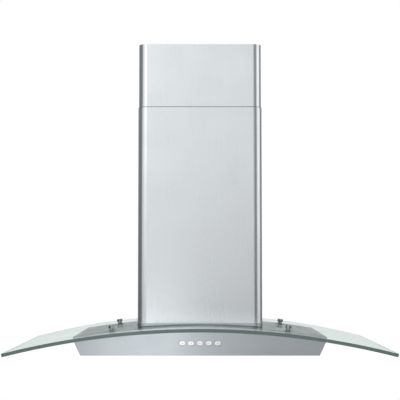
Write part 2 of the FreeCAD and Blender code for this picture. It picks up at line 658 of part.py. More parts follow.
def blower_housing():
    out_top = BOX_TOP
    inlet = rod(INLET_R, V(-VOLUTE_HALF_W - 5, AXIS_Y, AXIS_Z), X, 2 * VOLUTE_HALF_W + 10)
    inner_x = VOLUTE_HALF_W - VOLUTE_WALL
    inner = volute_prism(0, -inner_x, inner_x, out_top + 5)
    outer = volute_prism(VOLUTE_WALL, -VOLUTE_HALF_W, VOLUTE_HALF_W, out_top)
    shell = cut(outer, inner, inlet)
    far = 300
    for side, name in ((-1, "left"), (1, "right")):
        keep = block(0, side * far, -far, far, BODY_BOTTOM, 0)
        save("scroll_" + name, shell.common(keep))

    box = block(-BOX_X, BOX_X, -BOX_Y, BOX_Y, GLASS_TOP - 30, BOX_TOP)
    hollow = block(-BOX_X + BOX_T, BOX_X - BOX_T, -BOX_Y + BOX_T, BOX_Y - BOX_T,
                   GLASS_TOP - 40, BOX_TOP - BOX_T)
    outlet = volute_prism(VOLUTE_WALL + 0.2, -VOLUTE_HALF_W - 0.2, VOLUTE_HALF_W + 0.2, BOX_TOP + 5)
    lead = rod(WIRE_R + 1, V(MOTOR_LEAD_X, MOTOR_LEAD_Y, BOX_TOP - 10), Z, 20)
    save("blower_box", cut(box, hollow, outlet, lead, arch_drum(DECK_R)))


def motor():
    can = rod(MOTOR_R, V(MOTOR_FRONT, AXIS_Y, AXIS_Z), X, MOTOR_BACK - MOTOR_FRONT)
    rims = [e for e in can.Edges if e.Length > 5 * MOTOR_R]
    can = can.makeFillet(4, rims)
    boss = rod(16, V(MOTOR_BACK - 1, AXIS_Y, AXIS_Z), X, BRACKET_X - MOTOR_BACK + 1)
    bore = rod(SHAFT_R + SHAFT_FIT, V(MOTOR_FRONT - 5, AXIS_Y, AXIS_Z), X, MOTOR_BACK - MOTOR_FRONT + 4)
    save("motor", cut(fuse(can, boss), bore))

    centre = V(VOLUTE_HALF_W, AXIS_Y, AXIS_Z)
    ring = rod(62, centre, X, 4).cut(rod(54, centre - X, X, 6))
    disc = rod(18, V(BRACKET_X, AXIS_Y, AXIS_Z), X, 2)
    arms = []
    for number in range(3):
        arm = block(BRACKET_X, BRACKET_X + 2, AXIS_Y - 4, AXIS_Y + 4, AXIS_Z + 10, AXIS_Z + 56)
        arm.rotate(centre, X, 120 * number)
        arms.append(arm)
    lead_hole = rod(WIRE_R + 0.5, V(BRACKET_X - 1, AXIS_Y, AXIS_Z), X, 5)
    save("motor_bracket", fuse(ring, disc, *arms).cut(lead_hole))

    shaft = rod(SHAFT_R, V(-14, AXIS_Y, AXIS_Z), X, MOTOR_BACK - 4 + 14 - 2)
    save("motor_shaft", shaft)


def impeller():
    half_w = IMPELLER_HALF_W
    mid_r = (IMPELLER_BORE_R + IMPELLER_R) / 2
    blade_turn = 1.1 / mid_r

    def at(radius, turn):
        return V(-half_w, AXIS_Y + radius * math.cos(turn), AXIS_Z + radius * math.sin(turn))

    inner_r = IMPELLER_BORE_R + 0.5
    outer_r = IMPELLER_R - 0.5
    front = Part.Arc(at(inner_r, 0), at(mid_r, 0.02), at(outer_r, 0.10)).toShape()
    back = Part.Arc(at(inner_r, blade_turn), at(mid_r, 0.02 + blade_turn),
                    at(outer_r, 0.10 + blade_turn)).toShape()
    foot = Part.makeLine(at(inner_r, 0), at(inner_r, blade_turn))
    tip = Part.makeLine(at(outer_r, 0.10), at(outer_r, 0.10 + blade_turn))
    blade = face_of([front, tip, back, foot]).extrude(V(2 * half_w, 0, 0))
    pieces = []
    for number in range(BLADES):
        turned = blade.copy()
        turned.rotate(V(0, AXIS_Y, AXIS_Z), X, 360.0 / BLADES * number)
        pieces.append(turned)
    for x in (-half_w, half_w - 2):
        centre = V(x, AXIS_Y, AXIS_Z)
        pieces.append(rod(IMPELLER_R, centre, X, 2).cut(rod(IMPELLER_BORE_R, centre - X, X, 4)))
    disc = rod(IMPELLER_R, V(-1, AXIS_Y, AXIS_Z), X, 2)
    hub = rod(12, V(-14, AXIS_Y, AXIS_Z), X, 20)
    wheel = fuse(disc, hub, *pieces)
    save("impeller", wheel.cut(rod(SHAFT_R, V(-20, AXIS_Y, AXIS_Z), X, 40)))


def duct_collar():
    base_z = BOX_TOP
    neck_z = base_z + PLENUM_H
    top_z = neck_z + COLLAR_LENGTH
    inner_r = COLLAR_R - COLLAR_WALL
    plenum = rounded_plate(PLENUM_HALF, PLENUM_HALF, 12, base_z, neck_z)
    plenum_in = rounded_plate(PLENUM_HALF - COLLAR_WALL, PLENUM_HALF - COLLAR_WALL, 10,
                              base_z - 1, neck_z - COLLAR_WALL)
    spigot = rod(COLLAR_R, V(0, 0, neck_z - COLLAR_WALL), Z, COLLAR_LENGTH + COLLAR_WALL)
    bore = rod(inner_r, V(0, 0, neck_z - 2 * COLLAR_WALL), Z, COLLAR_LENGTH + 10)
    collar = cut(fuse(plenum, spigot), plenum_in, bore)
    ledge_top = FLAP_Z - FLAP_T / 2 - 0.3
    ledge = rod(inner_r + 0.5, V(0, 0, ledge_top - 2), Z, 2)
    ledge = ledge.cut(rod(inner_r - 3.5, V(0, 0, ledge_top - 3), Z, 4))
    lugs = []
    holes = []
    for side in SIDES:
        lug = block(side * LUG_IN, side * (inner_r + 1), -FLAP_AXIS_Y - 5, FLAP_AXIS_Y + 5,
                    FLAP_Z - 4.5, FLAP_Z + 4.5)
        lugs.append(lug.common(rod(inner_r + 0.5, V(0, 0, FLAP_Z - 10), Z, 20)))
        for pin_y in (-FLAP_AXIS_Y, FLAP_AXIS_Y):
            start = V(side * (LUG_IN - 1), pin_y, FLAP_Z)
            holes.append(rod(FLAP_PIN_R + FLAP_PIN_FIT, start, X * side, inner_r - LUG_IN))
    relief = block(-LUG_IN, LUG_IN, -FLAP_AXIS_Y - 5, FLAP_AXIS_Y + 5, FLAP_Z - 4.5, FLAP_Z + 4.5)
    save("duct_collar", fuse(collar, ledge, *lugs).cut(holes).cut(relief))

    for side, name in ((-1, "front"), (1, "rear")):
        axis_y = side * FLAP_AXIS_Y
        disc = rod(FLAP_R, V(0, 0, FLAP_Z - FLAP_T / 2), Z, FLAP_T)
        far_part = block(-FLAP_R, FLAP_R, side * (FLAP_AXIS_Y + 7), side * FLAP_R, FLAP_Z - 2, FLAP_Z + 2)
        near_part = block(-LUG_IN + 1, LUG_IN - 1, axis_y, side * (FLAP_AXIS_Y + 8),
                          FLAP_Z - 2, FLAP_Z + 2)
        plate = disc.common(fuse(far_part, near_part))
        barrel = rod(3, V(-LUG_IN + 1, axis_y, FLAP_Z), X, 2 * LUG_IN - 2)
        pin_reach = inner_r - 1.5
        pin = rod(FLAP_PIN_R, V(-pin_reach, axis_y, FLAP_Z), X, 2 * pin_reach)
        save("damper_flap_" + name, fuse(plate, barrel, pin))


# ---------------------------------------------------------------- electrics
def electrics():
    wall = 2.0
    top_z = BOX_TOP + JBOX_H
    mid_x = (JBOX_X0 + JBOX_X1) / 2
    tray = block(JBOX_X0, JBOX_X1, -JBOX_HALF_Y, JBOX_HALF_Y, BOX_TOP, top_z - wall)
    hollow = block(JBOX_X0 + wall, JBOX_X1 - wall, -JBOX_HALF_Y + wall, JBOX_HALF_Y - wall,
                   BOX_TOP + wall, top_z)
    lead = rod(WIRE_R + 0.5, V(MOTOR_LEAD_X, MOTOR_LEAD_Y, BOX_TOP - 2), Z, 6)
    loom = rod(WIRE_R + 0.5, V(mid_x, -JBOX_HALF_Y - 2, BOX_TOP + 14), Y, 6)
    save("junction_box", cut(tray, hollow, lead, loom))
    cover = block(JBOX_X0, JBOX_X1, -JBOX_HALF_Y, JBOX_HALF_Y, top_z - wall, top_z)
    save("junction_cover", cut(cover, rod(GLAND_R - 2, V(mid_x, GLAND_Y, top_z - 5), Z, 10)))
    flange = rod(GLAND_R + 2, V(mid_x, GLAND_Y, top_z), Z, 3)
    body_rod = rod(GLAND_R, V(mid_x, GLAND_Y, top_z), Z, GLAND_H)
    neck = rod(GLAND_R - 2.3, V(mid_x, GLAND_Y, top_z - wall - 3), Z, wall + 4)
    bore = rod(GLAND_BORE_R, V(mid_x, GLAND_Y, top_z - 20), Z, GLAND_H + 30)
    save("cable_gland", fuse(flange, body_rod, neck).cut(bore))
    blocks = []
    for number in range(3):
        y0 = -5 + number * 9
        way = block(mid_x - 8, mid_x + 8, y0, y0 + 8, BOX_TOP + wall, BOX_TOP + wall + 12)
        for side in SIDES:
            way = way.cut(rod(1.8, V(mid_x + side * 4, y0 + 4, BOX_TOP + wall + 6), Z, 10))
        blocks.append(way)
    save("terminal_block", *blocks)

    loom_z = BOX_TOP + 14
    main = cable([
        V(mid_x, -JBOX_HALF_Y + 4, loom_z), V(mid_x + 4, -72, loom_z + 2), V(mid_x + 30, -82, loom_z + 1),
        V(LOOM_X + 1, -78, loom_z - 30), V(LOOM_X, LOOM_Y, loom_z - 70), V(LOOM_X + 1, LOOM_Y, loom_z - 125),
        V(LOOM_X, LOOM_Y - 1, loom_z - 180), V(LOOM_X, LOOM_Y, loom_z - 235),
        V(LOOM_X, LOOM_Y, BUTTON_Z + 21), V(LOOM_X - 8, LOOM_Y - 12, BUTTON_Z + 7),
        V(LOOM_X - 34, -98, BUTTON_Z + 2), V(LOOM_X - 62, -120, BUTTON_Z + 1),
        V(BOARD_PLUG_X + 14, -134, BUTTON_Z - 1), V(BOARD_PLUG_X + 2, -144, BUTTON_Z),
        V(BOARD_PLUG_X, PLUG_BACK, BUTTON_Z)])
    motor_lead = cable([
        V(MOTOR_LEAD_X, MOTOR_LEAD_Y, BOX_TOP + 4), V(MOTOR_LEAD_X, MOTOR_LEAD_Y, BOX_TOP - 36),
        V(MOTOR_LEAD_X - 3, MOTOR_LEAD_Y, BOX_TOP - 80), V(MOTOR_LEAD_X - 18, AXIS_Y, AXIS_Z + 6),
        V(BRACKET_X + 14, AXIS_Y, AXIS_Z), V(BRACKET_X, AXIS_Y, AXIS_Z)])

    lamp_leads = []
    lead_r = LAMP_WIRE_R
    lead_z = LAMP_TOP + 9
    for side in SIDES:
        lamp = V(side * LAMP_X, -LAMP_Y, LAMP_TOP - 3)
        lamp_leads.append(cable([
            V(side * 50, -163, BUTTON_Z + 3), V(side * 62, -154, BUTTON_Z + 4),
            V(side * 90, -148, BUTTON_Z + 6), V(side * 140, -146, BUTTON_Z + 9),
            V(side * 190, -140, lead_z), V(side * 226, -127, lead_z), V(lamp.x, lamp.y, lead_z - 1), lamp],
            lead_r))
        rear = V(side * LAMP_X, LAMP_Y, LAMP_TOP - 3)
        lamp_leads.append(cable([
            V(lamp.x + side * 6, lamp.y + 5, LAMP_TOP + 0.1), V(lamp.x + side * 7, lamp.y + 10, lead_z),
            V(lamp.x + side * 6, -75, lead_z), V(lamp.x + side * 7, -30, lead_z),
            V(lamp.x + side * 6, 25, lead_z), V(lamp.x + side * 6, 75, lead_z),
            V(lamp.x + side * 4, 106, lead_z), V(rear.x, rear.y, lead_z - 1), rear], lead_r))
    save("wiring_harness", main, motor_lead, *lamp_leads)


os.makedirs("parts", exist_ok=True)
ceiling_section()
lower_frame()
lower_chimney()
glass()
body()
bottom_panel()
lamps()
grease_filter(-1, "left")
grease_filter(1, "right")
controls()
blower_housing()
motor()
impeller()
duct_collar()
electrics()
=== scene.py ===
import json
import math

import bmesh
import bpy
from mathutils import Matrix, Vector


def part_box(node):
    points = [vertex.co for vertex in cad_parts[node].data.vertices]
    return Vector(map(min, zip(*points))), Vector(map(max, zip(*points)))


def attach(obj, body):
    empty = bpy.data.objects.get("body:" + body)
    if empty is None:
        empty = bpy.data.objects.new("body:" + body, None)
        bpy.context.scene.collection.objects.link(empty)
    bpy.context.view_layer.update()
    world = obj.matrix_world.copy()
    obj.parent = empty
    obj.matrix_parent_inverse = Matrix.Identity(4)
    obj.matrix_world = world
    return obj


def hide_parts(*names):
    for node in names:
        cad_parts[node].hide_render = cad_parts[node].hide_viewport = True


# Island range hood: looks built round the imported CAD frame.  Metres, front is -Y.
MM = 0.001

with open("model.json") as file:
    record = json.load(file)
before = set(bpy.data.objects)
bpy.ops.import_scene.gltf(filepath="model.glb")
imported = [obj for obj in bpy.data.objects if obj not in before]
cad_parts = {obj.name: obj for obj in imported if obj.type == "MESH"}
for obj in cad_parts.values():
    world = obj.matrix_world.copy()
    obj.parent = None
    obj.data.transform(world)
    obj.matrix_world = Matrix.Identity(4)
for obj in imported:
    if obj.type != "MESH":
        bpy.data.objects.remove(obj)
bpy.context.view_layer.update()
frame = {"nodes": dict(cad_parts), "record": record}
nodes = frame["nodes"]
scene = bpy.context.scene


# ---------------------------------------------------------------- camera
# fitted to the photo's glass edges, chimney edges and seam
CAMERA_AHEAD = 2.477       # from the glass's front edge
CAMERA_ABOVE = 0.159       # above the top of the glass
CAMERA_PITCH = 3.17        # degrees, looking up
CAMERA_LENS = 96.75        # mm, on a 36 mm wide sensor

glass_low, glass_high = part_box("glass_canopy")


def make_camera():
    data = bpy.data.cameras.new("camera")
    data.sensor_width = 36.0
    data.lens = CAMERA_LENS
    data.clip_start = 0.05
    data.clip_end = 60.0
    camera = bpy.data.objects.new("camera", data)
    camera.location = (0, glass_low.y - CAMERA_AHEAD, glass_high.z + CAMERA_ABOVE)
    camera.rotation_euler = (math.radians(90 + CAMERA_PITCH), 0, 0)
    scene.collection.objects.link(camera)
    scene.camera = camera


# ---------------------------------------------------------------- material helpers
GLASS_SHEEN = 0.27         # share of the full reflection that the canopy's faces give
GLASS_IOR = 1.5

# noise scales of the surfaces, in features per metre
FINE_GRAIN = 1800
BROAD_GRAIN = 260
BLOTCHES = 9
MOULD_CLOUDS = 30
MOULD_STIPPLE = 2500
WIPE_MARKS = 120
GLASS_WAVES = 14
GROUND_EDGE = 600
LENS_FROST = 900
BOARD_TRACKS = 420
FLOOR_CLOUDS = 0.6

GRAIN_STRETCH = 0.012      # noise scale along the grain, as a share of the scale across it
FINE_SHARE = 0.6           # how much each grain adds to a brushed sheet's streaks
BROAD_SHARE = 0.2
STREAK = FINE_SHARE + BROAD_SHARE


class Shade:
    """A material with a Principled shader and short calls for the nodes round it."""

    def __init__(self, name, **values):
        self.material = bpy.data.materials.new(name)
        self.material.use_nodes = True
        self.tree = self.material.node_tree
        self.bsdf = self.tree.nodes["Principled BSDF"]
        self.output = self.tree.nodes["Material Output"]
        for key, value in values.items():
            self.set(key.replace("_", " "), value)

    def set(self, socket, value):
        if isinstance(value, tuple) and len(value) == 3:
            value = (*value, 1.0)
        self.bsdf.inputs[socket].default_value = value

    def node(self, kind, **inputs):
        made = self.tree.nodes.new("ShaderNode" + kind)
        for key, value in inputs.items():
            self.feed(made.inputs[key.replace("_", " ")], value)
        return made

    def feed(self, socket, value):
        if isinstance(value, bpy.types.NodeSocket):
            self.tree.links.new(value, socket)
        else:
            socket.default_value = value

    def link(self, source, socket):
        self.tree.links.new(source, self.bsdf.inputs[socket])

    def noise(self, scale, detail=4.0, stretch=(1, 1, 1), roughness=0.5):
        """Noise in real object coordinates, `scale` features per metre times `stretch`."""
        coords = self.node("TexCoord")
        mapping = self.node("Mapping", Vector=coords.outputs["Object"])
        mapping.inputs["Scale"].default_value = stretch
        made = self.node("TexNoise", Vector=mapping.outputs["Vector"], Scale=scale,
                         Detail=detail, Roughness=roughness)
        return made.outputs["Fac"]

    def spread(self, fac, low, high, from_low=0.3, from_high=0.7):
        """`fac` mapped from its range to low..high; noise mostly lies from 0.3 to 0.7."""
        made = self.node("MapRange", Value=fac)
        made.inputs["From Min"].default_value = from_low
        made.inputs["From Max"].default_value = from_high
        made.inputs["To Min"].default_value = low
        made.inputs["To Max"].default_value = high
        return made.outputs["Result"]

    def between(self, fac, colour_a, colour_b):
        """Mix of two colours: sockets 6 and 7 and output 2 are the Mix node's colour ones."""
        made = self.tree.nodes.new("ShaderNodeMix")
        made.data_type = "RGBA"
        self.feed(made.inputs[0], fac)
        made.inputs[6].default_value = (*colour_a, 1.0)
        made.inputs[7].default_value = (*colour_b, 1.0)
        return made.outputs[2]

    def math(self, operation, one, two):
        made = self.tree.nodes.new("ShaderNodeMath")
        made.operation = operation
        self.feed(made.inputs[0], one)
        self.feed(made.inputs[1], two)
        return made.outputs[0]

    def mix(self, fac, one, two):
        made = self.tree.nodes.new("ShaderNodeMixShader")
        for socket, value in zip(made.inputs, (fac, one, two)):
            self.feed(socket, value)
        return made.outputs[0]

    def bump(self, height, depth):
        made = self.node("Bump", Height=height, Strength=1.0, Distance=depth)
        self.link(made.outputs["Normal"], "Normal")


def brushed(name, colour, grain, roughness=0.3, anisotropy=0.5, contrast=0.05, depth=0.01):
    """Metal sheet brushed along `grain`: "x", "y" or "z".  `depth` is the bump's, in mm."""
    stretch = tuple(GRAIN_STRETCH if axis == grain else 1.0 for axis in "xyz")
    shade = Shade(name, Metallic=1.0)
    fine = shade.noise(FINE_GRAIN, 3.0, stretch, 0.6)
    broad = shade.noise(BROAD_GRAIN, 2.0, stretch, 0.5)
    blotch = shade.noise(BLOTCHES, 3.0)
    streak = shade.math("ADD", shade.spread(fine, -FINE_SHARE, FINE_SHARE),
                        shade.spread(broad, -BROAD_SHARE, BROAD_SHARE))
    dark = tuple(c * (1 - contrast) for c in colour)
    light = tuple(min(1.0, c * (1 + contrast)) for c in colour)
    shade.link(shade.between(shade.spread(streak, 0, 1, -STREAK, STREAK), dark, light), "Base Color")
    streaky = shade.spread(streak, roughness - 0.03, roughness + 0.03, -STREAK, STREAK)
    rough = shade.math("ADD", streaky, shade.spread(blotch, -0.02, 0.03))
    shade.link(rough, "Roughness")
    shade.bump(fine, depth * MM)
    if anisotropy:
        shade.set("Anisotropic", anisotropy)
        tangent = shade.node("Tangent")
        tangent.direction_type = "RADIAL"
        tangent.axis = "Z"
        shade.link(tangent.outputs["Tangent"], "Tangent")
        shade.set("Anisotropic Rotation", 0.25 if grain == "z" else 0.0)
    return shade.material


def moulded(name, colour, roughness=0.45, grain_depth=0.03, vary=0.08):
    """Moulded plastic: fine stipple `grain_depth` mm deep, slight colour and gloss variation."""
    shade = Shade(name)
    cloud = shade.noise(MOULD_CLOUDS, 4.0)
    stipple = shade.noise(MOULD_STIPPLE, 2.0)
    dark = tuple(c * (1 - vary) for c in colour)
    light = tuple(min(1.0, c * (1 + vary)) for c in colour)
    shade.link(shade.between(shade.spread(cloud, 0, 1), dark, light), "Base Color")
    shade.link(shade.spread(cloud, roughness - 0.05, roughness + 0.06), "Roughness")
    shade.bump(stipple, grain_depth * MM)
    return shade.material


def polished(name, colour, roughness=0.08):
    """Plated metal: nearly mirror, with faint wipe marks in the gloss."""
    shade = Shade(name, Metallic=1.0)
    wipe = shade.noise(WIPE_MARKS, 3.0, (1, 1, 0.2))
    dark = tuple(c * 0.97 for c in colour)
    shade.link(shade.between(shade.spread(wipe, 0, 1), dark, colour), "Base Color")
    shade.link(shade.spread(wipe, roughness * 0.7, roughness * 1.5), "Roughness")
    shade.bump(wipe, 0.01 * MM)
    return shade.material


def clear_glass():
    """Toughened float glass: clear faces, satin-ground grey-green edges with a pale arris."""
    shade = Shade("glass", Metallic=0.0, Roughness=0.22, IOR=GLASS_IOR)
    haze = shade.noise(GLASS_WAVES, 3.0)
    tint = shade.between(shade.spread(haze, 0, 1), (0.90, 0.945, 0.93), (0.935, 0.97, 0.96))
    wave = shade.node("Bump", Height=haze, Strength=1.0, Distance=0.01 * MM).outputs["Normal"]
    through = shade.node("BsdfRefraction", Color=tint, Roughness=0.0, IOR=GLASS_IOR, Normal=wave)
    mirror = shade.node("BsdfGlossy", Color=(1.0, 1.0, 1.0, 1.0), Roughness=0.0, Normal=wave)
    edge_on = shade.node("Fresnel", IOR=GLASS_IOR, Normal=wave).outputs["Fac"]
    # total reflection inside the sheet keeps its full strength
    trapped = shade.spread(edge_on, 0.0, 1.0, 0.98, 1.0)
    share = shade.math("MAXIMUM", shade.math("MULTIPLY", edge_on, GLASS_SHEEN), trapped)
    faces = shade.mix(share, through.outputs["BSDF"], mirror.outputs["BSDF"])
    ground = shade.noise(GROUND_EDGE, 3.0)
    shade.link(shade.between(shade.spread(ground, 0, 1), (0.155, 0.225, 0.215), (0.185, 0.26, 0.25)),
               "Base Color")
    shade.bump(ground, 0.02 * MM)
    # a face whose normal is near the horizontal is one of the sheet's edges
    surface = shade.node("NewGeometry")
    tilt = shade.node("SeparateXYZ", Vector=surface.outputs["True Normal"]).outputs["Z"]
    upright = shade.spread(shade.math("MULTIPLY", tilt, tilt), 1.0, 0.0, 0.30, 0.40)
    body = shade.mix(shade.math("MULTIPLY", upright, 0.8), faces, shade.bsdf.outputs["BSDF"])
    shade.feed(shade.output.inputs["Surface"], body)
    absorb = shade.node("VolumeAbsorption", Color=(0.375, 0.455, 0.425, 1.0), Density=4.0)
    shade.feed(shade.output.inputs["Volume"], absorb.outputs["Volume"])
    return shade.material


def frosted_lens():
    """Acid-etched lens of the lamps."""
    shade = Shade("lamp_lens", IOR=1.49)
    shade.set("Transmission Weight", 0.85)
    frost = shade.noise(LENS_FROST, 3.0)
    shade.link(shade.spread(frost, 0.28, 0.42), "Roughness")
    shade.link(shade.between(shade.spread(frost, 0, 1), (0.90, 0.90, 0.88), (0.97, 0.97, 0.95)),
               "Base Color")
    shade.bump(frost, 0.05 * MM)
    return shade.material


def circuit_green():
    """Solder mask with the copper tracks showing through."""
    shade = Shade("circuit_board")
    tracks = shade.noise(BOARD_TRACKS, 1.0, (1, 1, 0.3))
    shade.link(shade.between(shade.spread(tracks, 0, 1, 0.48, 0.52), (0.01, 0.10, 0.04),
                             (0.02, 0.17, 0.07)), "Base Color")
    shade.link(shade.spread(tracks, 0.25, 0.4), "Roughness")
    shade.bump(tracks, 0.03 * MM)
    return shade.material


# brushed: name, colour, grain, roughness, anisotropy, contrast, bump depth in mm
# moulded: name, colour, roughness, bump depth in mm, variation of colour
# polished: name, colour, roughness
MATERIALS = {
    "stainless_chimney": brushed("chimney_steel", (0.636, 0.664, 0.684), "z", 0.25, 0.5, 0.008, 0.0002),
    "stainless_body": brushed("body_steel", (0.505, 0.545, 0.570), "x", 0.22, 0.6, 0.010, 0.0004),
    # the deck's steel is given a far darker colour than the body's steel: painted shade on the deck
    # under the glass
    "stainless_deck": brushed("deck_steel_painted_shade", (0.25, 0.24, 0.265), "x", 0.35, 0.4, 0.03, 0.005),
    "galvanised_frame": brushed("zinc_sheet", (0.55, 0.56, 0.57), "z", 0.42, 0.0, 0.12),
    "lamp_metal": brushed("lamp_bezel_steel", (0.68, 0.68, 0.67), "x", 0.22, 0.0, 0.04),
    "filter_frame": brushed("rolled_aluminium", (0.72, 0.72, 0.72), "y", 0.34, 0.0, 0.05),
    "filter_mesh": brushed("mesh_aluminium", (0.66, 0.66, 0.66), "y", 0.38, 0.0, 0.08),
    "impeller_sheet": brushed("impeller_aluminium", (0.62, 0.63, 0.64), "x", 0.35, 0.0, 0.06),
    "shaft_steel": brushed("ground_steel", (0.55, 0.55, 0.56), "x", 0.2, 0.0, 0.04),
    "chrome": polished("cap_chrome", (0.33, 0.335, 0.34), 0.07),
    "steel_screws": polished("screw_zinc", (0.60, 0.60, 0.61), 0.22),
    "clear_glass": clear_glass(),
    "lamp_glass": frosted_lens(),
    "black_rubber": moulded("gasket_rubber", (0.035, 0.035, 0.036), 0.7, 0.06),
    "black_plastic": moulded("black_moulding", (0.045, 0.045, 0.047), 0.42),
    "grey_plastic": moulded("grey_moulding", (0.32, 0.33, 0.34), 0.45),
    "button_silver": polished("button_silver", (0.96, 0.965, 0.97), 0.22),
    "led_board": moulded("white_board", (0.82, 0.82, 0.78), 0.5),
    "motor_steel": moulded("motor_paint", (0.16, 0.17, 0.18), 0.38, 0.05),
    "cable_grey": moulded("cable_sheath", (0.17, 0.17, 0.175), 0.5),
    "circuit_board": circuit_green(),
}


def dress_cad_nodes():
    for part in frame["record"]["subparts"]:
        mesh = nodes[part["node"]].data
        material = MATERIALS[part["material_slot"]]
        if not mesh.materials:
            mesh.materials.append(material)
        for index in range(len(mesh.materials)):
            mesh.materials[index] = material


# ---------------------------------------------------------------- added pieces
def make_piece(name, vertices, faces, slot, body, material=None):
    """A visible piece that moves with `body`; its look is the slot's unless `material` is given."""
    mesh = bpy.data.meshes.new(name)
    mesh.from_pydata([tuple(v) for v in vertices], [], faces)
    mesh.validate()
    build = bmesh.new()
    build.from_mesh(mesh)
    bmesh.ops.recalc_face_normals(build, faces=build.faces)
    build.to_mesh(mesh)
    build.free()
    piece = bpy.data.objects.new(name, mesh)
    scene.collection.objects.link(piece)
    mesh.materials.append(material or MATERIALS[slot])
    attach(piece, body)
    return piece


def rounded_outline(half_x, half_y, radius, steps=8):
    """Points round a rectangle with round corners, anticlockwise from above."""
    points = []
    corners = ((1, 1, 0), (-1, 1, 90), (-1, -1, 180), (1, -1, 270))
    for sx, sy, start in corners:
        for step in range(steps + 1):
            turn = math.radians(start + 90 * step / steps)
            points.append((sx * (half_x - radius) + radius * math.cos(turn),
                           sy * (half_y - radius) + radius * math.sin(turn)))
    return points


def wall_strip(name, half_x, half_y, radius, thickness, low, high, slot, body, material=None):
    """Thin band standing round the chimney, from height low(x) to high(x)."""
    outer = rounded_outline(half_x, half_y, radius)
    inner = rounded_outline(half_x - thickness, half_y - thickness, radius - thickness)
    vertices = []
    for (ox, oy), (ix, iy) in zip(outer, inner):
        vertices += [(ox, oy, low(ox)), (ox, oy, high(ox)), (ix, iy, high(ix)), (ix, iy, low(ix))]
    count = len(outer)
    faces = []
    for here in range(count):
        there = (here + 1) % count
        for side in range(4):
            after = (side + 1) % 4
            faces.append((4 * here + side, 4 * there + side, 4 * there + after, 4 * here + after))
    return make_piece(name, vertices, faces, slot, body, material)


GLASS_RADIUS = 1855 * MM       # the CAD canopy's bend radius, at its top face

# sizes of the two thin dark bands round the chimney, which paint the shade in the seam and the contact
# shadow at the foot; each stands out from the cover that it is measured from
SEAM_SHADE_OUT = 0.42 * MM
SEAM_SHADE_CORNER = 20.9 * MM
SEAM_SHADE_THICKNESS = 0.34 * MM
SEAM_SHADE_BELOW = 12 * MM
SEAM_SHADE_ABOVE = 1.6 * MM
FOOT_SHADOW_OUT = 0.9 * MM
FOOT_SHADOW_CORNER = 22.9 * MM
FOOT_SHADOW_THICKNESS = 0.8 * MM
FOOT_SHADOW_LOW = 0.3 * MM            # above the glass
FOOT_SHADOW_HIGH = 8.0 * MM


def glass_height(x):
    """Top of the arched glass at x."""
    return glass_high.z - (GLASS_RADIUS - math.sqrt(GLASS_RADIUS ** 2 - x ** 2))


def add_seam_shade_strip():
    """Dark strip in the gap between the two chimney covers: painted shade of the seam."""
    low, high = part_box("upper_chimney_front")
    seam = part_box("lower_chimney_front")[1].z
    wall_strip("seam_shade_strip", high.x + SEAM_SHADE_OUT, -low.y + SEAM_SHADE_OUT, SEAM_SHADE_CORNER, SEAM_SHADE_THICKNESS,
               lambda x: seam - SEAM_SHADE_BELOW, lambda x: seam + SEAM_SHADE_ABOVE,
               "black_rubber", "hood", moulded("seam_painted_shade", (0.12, 0.125, 0.13), 0.5, 0.03, 0.05))


def add_foot_painted_shadow():
    """Band of darker chimney steel round the foot of the lower cover, following the arch of the glass:
    a painted contact shadow.
    """
    low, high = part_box("lower_chimney_front")
    wall_strip("chimney_foot_painted_shadow", high.x + FOOT_SHADOW_OUT, -low.y + FOOT_SHADOW_OUT, FOOT_SHADOW_CORNER, FOOT_SHADOW_THICKNESS,
               lambda x: glass_height(x) + FOOT_SHADOW_LOW, lambda x: glass_height(x) + FOOT_SHADOW_HIGH,
               "stainless_chimney", "hood",
               brushed("foot_painted_shadow", (0.44, 0.47, 0.51), "x", 0.25, 0.5, 0.02, 0.003))


# the six faces of a bar from its eight corners: the first four at one end, the last four at the other
BAR_FACES = [(0, 1, 3, 2), (4, 6, 7, 5), (0, 4, 5, 1), (2, 3, 7, 6), (0, 2, 6, 4), (1, 5, 7, 3)]

MARK_HALF_WIDTH = 0.26         # mm, of a line on a button
MARK_PROUD = 0.06 * MM         # in front of the button's face
MARK_SUNK = 0.2 * MM           # behind it


def add_button_marks():
    """Generic dark line marks on the buttons' faces: x, z of both ends in mm, from the middle."""
    marks = {
        1: [(-2.8, -0.3, 2.8, -0.3)],
        2: [(-1.6, 1.0, 0.6, 1.0), (0.6, 1.0, 1.6, -0.6), (-1.6, 1.0, -2.0, -0.8)],
        3: [(-1.4, -1.0, 1.4, -1.0), (0.0, -1.0, 0.0, 1.2)],
        4: [(-2.4, -1.2, -2.4, 1.0), (-2.4, -0.1, 0.4, -0.1)],
        5: [(-2.8, -0.3, 2.8, -0.3)],
    }
    ink = moulded("mark_ink", (0.12, 0.125, 0.13), 0.5, 0.02, 0.05)
    for number, lines in marks.items():
        low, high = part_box("button_%d" % number)
        middle = ((low.x + high.x) / 2, (low.z + high.z) / 2)
        front = low.y
        vertices = []
        faces = []
        for x0, z0, x1, z1 in lines:
            start = Vector((x0, z0)) * MM
            end = Vector((x1, z1)) * MM
            side = (end - start).orthogonal().normalized() * MARK_HALF_WIDTH * MM
            base = len(vertices)
            for y in (front - MARK_PROUD, front + MARK_SUNK):
                for point in (start - side, start + side, end - side, end + side):
                    vertices.append((middle[0] + point.x, y, middle[1] + point.y))
            faces += [tuple(base + i for i in face) for face in BAR_FACES]
        make_piece("button_mark_%d" % number, vertices, faces, "black_plastic",
                   "push_button_%d" % number, ink)


MESH_PITCH = 5.2 * MM
MESH_ANGLE = 32                # degrees, the strands' lean from the X axis
MESH_LAYERS = 5
LAYER_SHIFT = 0.41             # of the pitch, sideways from one layer to the next
STRAND = (0.55 * MM, 0.5 * MM)     # half width and half height
LINE_REACH = 10.0              # far past the filter both ways
SHORTEST_STRAND = 1 * MM


